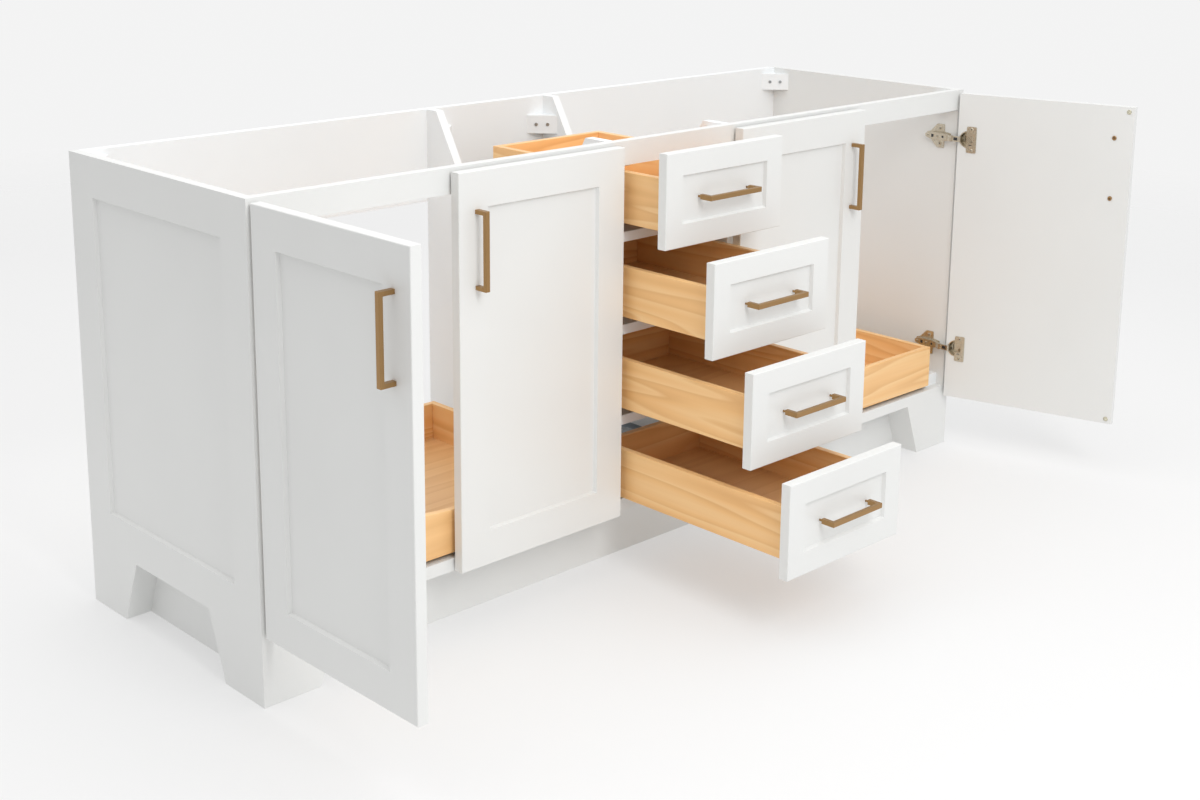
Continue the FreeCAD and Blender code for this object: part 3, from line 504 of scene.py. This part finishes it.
PLATE_THICKNESS = 0.0021
PLATE_OUTLINE = ((0.047, -0.0265), (0.066, -0.0265), (0.083, -0.0085), (0.093, -0.0060),
                 (0.093, 0.0060), (0.083, 0.0085), (0.066, 0.0265), (0.047, 0.0265),
                 (0.047, 0.0100), (0.030, 0.0080), (0.030, -0.0080), (0.047, -0.0100))
PLATE_SCREWS = (0.0575, 0.0172)                     # behind the pin, above and below the arm
PLATE_HEAD = (0.0042, 0.0018)
ARM_FOOT = 0.0015            # lower and upper face of the arm above the board
ARM_TOP = 0.0110
ARM_OUTLINE = ((0.034, -0.0068), (0.046, -0.0082), (0.074, -0.0082), (0.086, -0.0055),
               (0.091, -0.0030), (0.091, 0.0030), (0.086, 0.0055), (0.074, 0.0082),
               (0.046, 0.0082), (0.034, 0.0068))
ARM_SCREWS = ((0.0835, 0.0027), (0.0590, 0.0032))   # behind the pin, radius of the head
ARM_HEAD_HEIGHT = 0.0011
# The arm slot and the eye are thin dark sheets on the arm's top: painted shade in the slot and in
# the eye's hole.
ARM_SLOT = ((-0.0002, 0.0690, -0.0034), (0.0003, 0.0750, 0.0034))
ARM_EYE = 0.0450             # dark eye of the arm, behind the pin
ARM_EYE_PROFILE = ((-0.0002, 0.0026), (0.0004, 0.0026))
STRAP_PATH = ((0.0010, -0.0003), (0.0135, -0.0017), (0.0182, -0.0014), (0.0190, 0.0005),
              (0.0190, 0.0200))
STRAP_THICKNESS = 0.0019
# The strap slot is a thin dark sheet as well: painted shade.
STRAP_SLOT = ((0.0201, 0.0045, -0.0032), (0.0205, 0.0140, 0.0032))
NECK_THICKNESS = 0.0056
NECK_HALF = 0.0064


def hinge_place(door):
    """Hinge pin of a door on the floor plan."""
    x, y = JOINTS[door + "_hinge"]["pos_m"][:2]
    return Vector((x, y, 0))


def local_frame(door):
    """Origin on the hinge pin, u along the door at rest, n out of its back face."""
    angle = math.radians(-HAND[door] * OPENED[door])
    u = Vector((HAND[door] * math.cos(angle), HAND[door] * math.sin(angle), 0))
    n = Vector((-math.sin(angle), math.cos(angle), 0))
    return hinge_place(door), u, n


def eased(points, reach, steps=4):
    """Outline with its corners rounded off."""
    result = []
    for i, corner in enumerate(points):
        here = Vector(corner)
        before = Vector(points[i - 1]) - here
        after = Vector(points[(i + 1) % len(points)]) - here
        start = here + before.normalized() * min(reach, before.length / 2.2)
        end = here + after.normalized() * min(reach, after.length / 2.2)
        for k in range(steps + 1):
            t = k / steps
            result.append(tuple(start * (1 - t) ** 2 + here * 2 * t * (1 - t) + end * t ** 2))
    return result


def ribbon(bm, points, thickness, half, z):
    """Bent strip of one thickness that follows points on (u, n) and stands along z."""
    left, right = [], []
    for i, point in enumerate(points):
        here = Vector(point)
        ahead = Vector(points[min(i + 1, len(points) - 1)]) - Vector(points[max(i - 1, 0)])
        across = Vector((-ahead.y, ahead.x)).normalized() * thickness / 2
        left.append(tuple(here + across))
        right.append(tuple(here - across))
    prism(bm, left + right[::-1], 2, z - half, z + half)


def placed(bm, origin, u, n):
    """Move a mesh from hinge coordinates to the cabinet's."""
    turn = Matrix(((u.x, n.x, 0, origin.x), (u.y, n.y, 0, origin.y), (0, 0, 1, 0), (0, 0, 0, 1)))
    bmesh.ops.transform(bm, matrix=turn, verts=bm.verts)
    return bm


def block_from(bm, origin, corners):
    """Block between two opposite corners that are given from origin."""
    block(bm, *([a + b for a, b in zip(origin, corner)] for corner in corners))


def hinge_cup(cups, plates, screws, slot_shade_sheets, z):
    """Cup, pin and ears, notched flange, its screws and its slot."""
    back = PIN_TO_BACK
    disc(cups, (CUP_CENTRE, back, z), OUT, CUP_PROFILE, sides=40)
    pin = ((0.0, PIN_RADIUS), (PIN_LENGTH, PIN_RADIUS))
    disc(cups, (0, 0, z - PIN_LENGTH / 2), UP, pin, sides=12)
    for start in (z + EAR_START, z - EAR_START - EAR_THICKNESS):
        block(cups, (-KNUCKLE, back - EAR_DEPTH, start), (KNUCKLE, KNUCKLE, start + EAR_THICKNESS))
    outline = [(-FLANGE_HALF, FLANGE_NEAR), (-FLANGE_HALF, FLANGE_FAR), (FLANGE_HALF, FLANGE_FAR),
               (FLANGE_HALF, FLANGE_NEAR), (NOTCH_HALF, FLANGE_NEAR), (NOTCH_HALF, NOTCH_END),
               (-NOTCH_HALF, NOTCH_END), (-NOTCH_HALF, FLANGE_NEAR)]
    prism(plates, eased([(z + a, b) for a, b in outline], 0.003), 1, back, back + FLANGE_THICKNESS)
    block_from(plates, (0, back, z), FLANGE_RIB)
    # Thin dark sheet in the flange slot: painted shade.
    block_from(slot_shade_sheets, (0, back, z), FLANGE_SLOT)
    along, spread = FLANGE_SCREWS
    for dz in (-spread, spread):
        screw(screws, (along, back + FLANGE_THICKNESS - SEAT, z + dz), OUT, *FLANGE_HEAD)


def door_hardware(door):
    """Hinge cups with their flanges, bumpers and pull screws on a door's back face."""
    place = local_frame(door)
    cups, plates, screws, slot_shade_sheets = (bmesh.new() for _ in range(4))
    for z in HINGE_HEIGHTS:
        hinge_cup(cups, plates, screws, slot_shade_sheets, z)
    cup_piece = finish_piece(door + "_hinge_cup_shells", placed(cups, *place), (NICKEL,), door,
                             smooth=True)
    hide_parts(door + "_hinge_cups")
    finish_piece(door + "_hinge_flanges", placed(plates, *place), (NICKEL,), door,
                 FINE_EDGE)
    finish_piece(door + "_hinge_screws", placed(screws, *place), (NICKEL, DARK_PLASTIC_AND_SHADE), door,
                 smooth=True)
    # Thin dark sheets in the flange slots: painted shade.
    finish_piece(door + "_hinge_slot_painted_shade", placed(slot_shade_sheets, *place), (DARK_PLASTIC_AND_SHADE,), door,
                 SLOT_EDGE)

    edge = DOOR_WIDTH - PIN_TO_EDGE
    low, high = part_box(door + "_frame")
    bm = bmesh.new()
    for z in (high.z - BUMPER_DROP, low.z + BUMPER_DROP):
        disc(bm, (edge - BUMPER_INSET, PIN_TO_BACK - SEAT, z), OUT, BUMPER_PROFILE)
    finish_piece(door + "_bumpers", placed(bm, *place), (CLEAR,), door, smooth=True)

    low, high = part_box(door + "_pull")
    bm = bmesh.new()
    for z in (low.z + PULL_END, high.z - PULL_END):
        screw(bm, (edge - PULL_INSET, PIN_TO_BACK + PULL_SEAT, z), OUT, *PULL_HEAD)
    finish_piece(door + "_pull_screws", placed(bm, *place), (BRONZE_UPRIGHT, DARK_PLASTIC_AND_SHADE), door,
                 smooth=True)


def hinge_arm(arm, plate, head, slot_shade_sheet, face, z):
    """One arm on its winged plate. face is the board's inner face, from the pin along u."""
    top = face + ARM_TOP
    disc(arm, (0, 0, z - HALF), UP, ((0.0, KNUCKLE), (2 * HALF, KNUCKLE)), sides=20)
    ribbon(arm, STRAP_PATH, STRAP_THICKNESS, HALF, z)
    ribbon(arm, [(0.0190, 0.0182), (0.0195, 0.0225), (face + 0.0070, 0.0350),
                 (face + 0.0075, 0.0400)], NECK_THICKNESS, NECK_HALF, z)
    prism(arm, eased([(v, z + w) for v, w in ARM_OUTLINE], 0.002), 0, face + ARM_FOOT, top)
    prism(plate, eased([(v, z + w) for v, w in PLATE_OUTLINE], 0.003), 0,
          face, face + PLATE_THICKNESS)
    behind, spread = PLATE_SCREWS
    for w in (-spread, spread):
        screw(head, (face + PLATE_THICKNESS - SEAT, behind, z + w), ALONG, *PLATE_HEAD)
    for behind, radius in ARM_SCREWS:
        screw(head, (top - SEAT, behind, z), ALONG, radius, ARM_HEAD_HEIGHT)
    # Thin dark sheets for the slots and the eye: painted shade in these openings.
    block_from(slot_shade_sheet, (top, 0, z), ARM_SLOT)
    disc(slot_shade_sheet, (top, ARM_EYE, z), ALONG, ARM_EYE_PROFILE, sides=20)
    block_from(slot_shade_sheet, (0, 0, z), STRAP_SLOT)


def add_hinge_arms(door, face_x, wholes):
    """Both arms of one door, on the board whose inner face is at face_x, added to wholes."""
    place = hinge_place(door)
    face = HAND[door] * (face_x - place.x)
    parts = [bmesh.new() for _ in wholes]
    for z in HINGE_HEIGHTS:
        hinge_arm(*parts, face, z)
    for part, whole in zip(parts, wholes):
        placed(part, place, Vector((HAND[door], 0, 0)), Vector(OUT))
        loose = bpy.data.meshes.new("loose")
        part.to_mesh(loose)
        part.free()
        whole.from_mesh(loose)
        bpy.data.meshes.remove(loose)


def build_hardware():
    for door in DOORS:
        door_hardware(door)
    partition_low, partition_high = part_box("partitions")
    faces = (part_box("side_panel_left")[1].x, partition_low.x, partition_high.x,
             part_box("side_panel_right")[0].x)
    wholes = arms, plates, screws, slot_shade_sheets = [bmesh.new() for _ in range(4)]
    for door, face_x in zip(DOORS, faces):
        add_hinge_arms(door, face_x, wholes)
    arm_piece = finish_piece("hinge_arm_bodies", arms, (NICKEL,), "cabinet", FINE_EDGE)
    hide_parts("hinge_arms")
    finish_piece("hinge_mounting_plates", plates, (NICKEL,), "cabinet", FINE_EDGE)
    finish_piece("hinge_plate_screws", screws, (NICKEL, DARK_PLASTIC_AND_SHADE), "cabinet", smooth=True)
    # Thin dark sheets in the arms' slots and eyes: painted shade.
    finish_piece("hinge_arm_slot_painted_shade", slot_shade_sheets, (DARK_PLASTIC_AND_SHADE,), "cabinet", SLOT_EDGE)


# ---- floor and light --------------------------------------------------------------
FADE_START = 2.6             # the floor melts into the studio between these distances
FADE_END = 4.6
# Brightness of the studio by direction: axis, from, to, brightness at each. Dimmer on the
# cabinet's left and in front, brighter overhead.
STUDIO_LIGHT = (("X", -0.7, 0.35, 0.60, 0.90), ("Z", 0.2, 0.8, 1.0, 1.30),
                ("Y", -0.8, 0.0, 0.78, 1.0))
FLOOR_TONE = 0.44
FLOOR_GLOW = 0.41            # keeps the shadows on the floor soft and pale
FLOOR_SIZE = 14.0
FLOOR_DROP = 0.0005          # just under the feet
LIGHT_TARGET = (0.0, -0.4, 0.4)
AREA_LIGHTS = (              # name, place, size, watts
    ("key", (-0.8, -3.3, 2.6), (1.2, 1.6), 43.0),
    ("top", (-0.7, -0.8, 3.4), (4.6, 2.6), 28.0),
)


def add_floor():
    s = Shader("pale_floor")
    place = s.object_coordinates()
    colour = s.ramp(s.noise(place, 0.8, 2.0), (0.2, (FLOOR_TONE,) * 3),
                    (0.8, (FLOOR_TONE + 0.01,) * 3))
    distance = s.node("ShaderNodeVectorMath", Vector=place)
    distance.operation = "LENGTH"
    fade = s.node("ShaderNodeMapRange", Value=distance.outputs["Value"], From_Min=FADE_START,
                  From_Max=FADE_END, To_Min=1.0, To_Max=0.0)
    s.set(Base_Color=colour, Roughness=0.8, Specular_IOR_Level=0.1, Alpha=fade.outputs["Result"],
          Emission_Color=(1.0, 1.0, 1.0, 1.0), Emission_Strength=FLOOR_GLOW)
    bm = bmesh.new()
    size = FLOOR_SIZE
    corners = [(-size, -size), (size, -size), (size, size), (-size, size)]
    bm.faces.new([bm.verts.new((x, y, -FLOOR_DROP)) for x, y in corners])
    mesh = bpy.data.meshes.new("floor")
    bm.to_mesh(mesh)
    bm.free()
    mesh.materials.append(s.material)
    floor = bpy.data.objects.new("floor", mesh)
    bpy.context.scene.collection.objects.link(floor)


def add_area(name, place, size, power):
    data = bpy.data.lights.new(name, "AREA")
    data.shape = "RECTANGLE"
    data.size, data.size_y = size
    data.energy = power
    light = bpy.data.objects.new(name, data)
    light.location = place
    light.rotation_mode = "QUATERNION"
    light.rotation_quaternion = (Vector(LIGHT_TARGET) - Vector(place)).to_track_quat("-Z", "Y")
    bpy.context.scene.collection.objects.link(light)


def add_lights():
    world = bpy.data.worlds.new("studio")
    bpy.context.scene.world = world
    world.use_nodes = True
    tree = world.node_tree
    place = tree.nodes.new("ShaderNodeTexCoord")
    split = tree.nodes.new("ShaderNodeSeparateXYZ")
    tree.links.new(place.outputs["Generated"], split.inputs[0])
    product = None
    for axis, start, end, low, high in STUDIO_LIGHT:
        part = tree.nodes.new("ShaderNodeMapRange")
        limits = {"From Min": start, "From Max": end, "To Min": low, "To Max": high}
        for key, value in limits.items():
            part.inputs[key].default_value = value
        tree.links.new(split.outputs[axis], part.inputs["Value"])
        if product is None:
            product = part.outputs["Result"]
            continue
        times = tree.nodes.new("ShaderNodeMath")
        times.operation = "MULTIPLY"
        tree.links.new(product, times.inputs[0])
        tree.links.new(part.outputs["Result"], times.inputs[1])
        product = times.outputs[0]
    tree.links.new(product, tree.nodes["Background"].inputs["Color"])
    for name, spot, size, power in AREA_LIGHTS:
        add_area(name, spot, size, power)


bpy.context.scene.view_settings.view_transform = "Standard"
add_camera()
dress_frame()
for drawer in DRAWERS:
    wooden_box(drawer + "_box", drawer)
for tray in TRAYS:
    wooden_box(tray + "_box", tray, SCOOP)
build_hardware()
add_floor()
add_lights()
